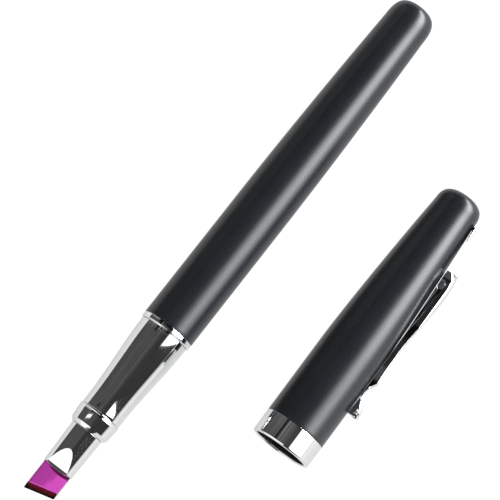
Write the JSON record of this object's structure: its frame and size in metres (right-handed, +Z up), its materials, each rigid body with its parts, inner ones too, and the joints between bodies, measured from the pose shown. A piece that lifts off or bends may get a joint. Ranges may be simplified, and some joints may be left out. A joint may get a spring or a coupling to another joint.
{
  "type": "counterfeit detector pen",
  "caption": "Slim black metal pen with a clear violet skew-ground blade in a bright nose, lying uncapped beside its cap with a folded spring clip.",
  "frame": {"origin": "middle of the footprint of the pen and its cap, on the surface they lie on", "axes": "+X along the pen from the blade to the barrel's closed tail; +Y from the cap towards the pen; +Z up from the surface"},
  "size_m": [0.12, 0.0446, 0.0125],
  "materials": {
    "black_lacquer": "satin black lacquer over drawn metal",
    "chrome": "polished chrome plating",
    "violet_crystal": "polished clear violet crystal",
    "turned_brass": "fine turned",
    "plain_steel": "zinc-plated steel",
    "black_plastic": "moulded black plastic"
  },
  "bodies": {
    "barrel": {"barrel_shell": "black_lacquer", "barrel_thread_bush": "turned_brass"},
    "ring": {"trim_ring": "chrome"},
    "section": {"grip_section": "chrome", "section_core": "turned_brass", "nose_collar": "chrome", "blade_holder": "chrome", "blade": "violet_crystal", "lock_washer": "plain_steel", "lock_nut": "plain_steel"},
    "cap": {"cap_shell": "black_lacquer", "cap_band": "chrome", "cap_liner": "black_plastic", "clip_retainer": "black_plastic"},
    "clip": {"pocket_clip": "chrome"}
  },
  "joints": [
    {"name": "ring_slide", "type": "slide", "parent": "barrel", "child": "ring", "axis": [-1, 0, 0], "range_m": [0, 0.0045]},
    {"name": "section_turn", "type": "hinge", "parent": "ring", "child": "section", "pos_m": [-0.02958, 0.01682, 0.0055], "axis": [-1, 0, 0], "range_deg": [0, 2160]},
    {"name": "cap_slide", "type": "slide", "parent": "barrel", "child": "cap", "axis": [0.9998, 0.0209, 0], "range_m": [0, 0.086]},
    {"name": "clip_flex", "type": "hinge", "parent": "cap", "child": "clip", "pos_m": [0.03086, -0.01738, 0.00625], "axis": [0, 0, 1], "range_deg": [0, 6], "stiffness_Nm_per_rad": 1}
  ],
  "couplings": [
    {"joint": "ring_slide", "follows": "section_turn", "m_per_rad": 0.00011937}
  ]
}
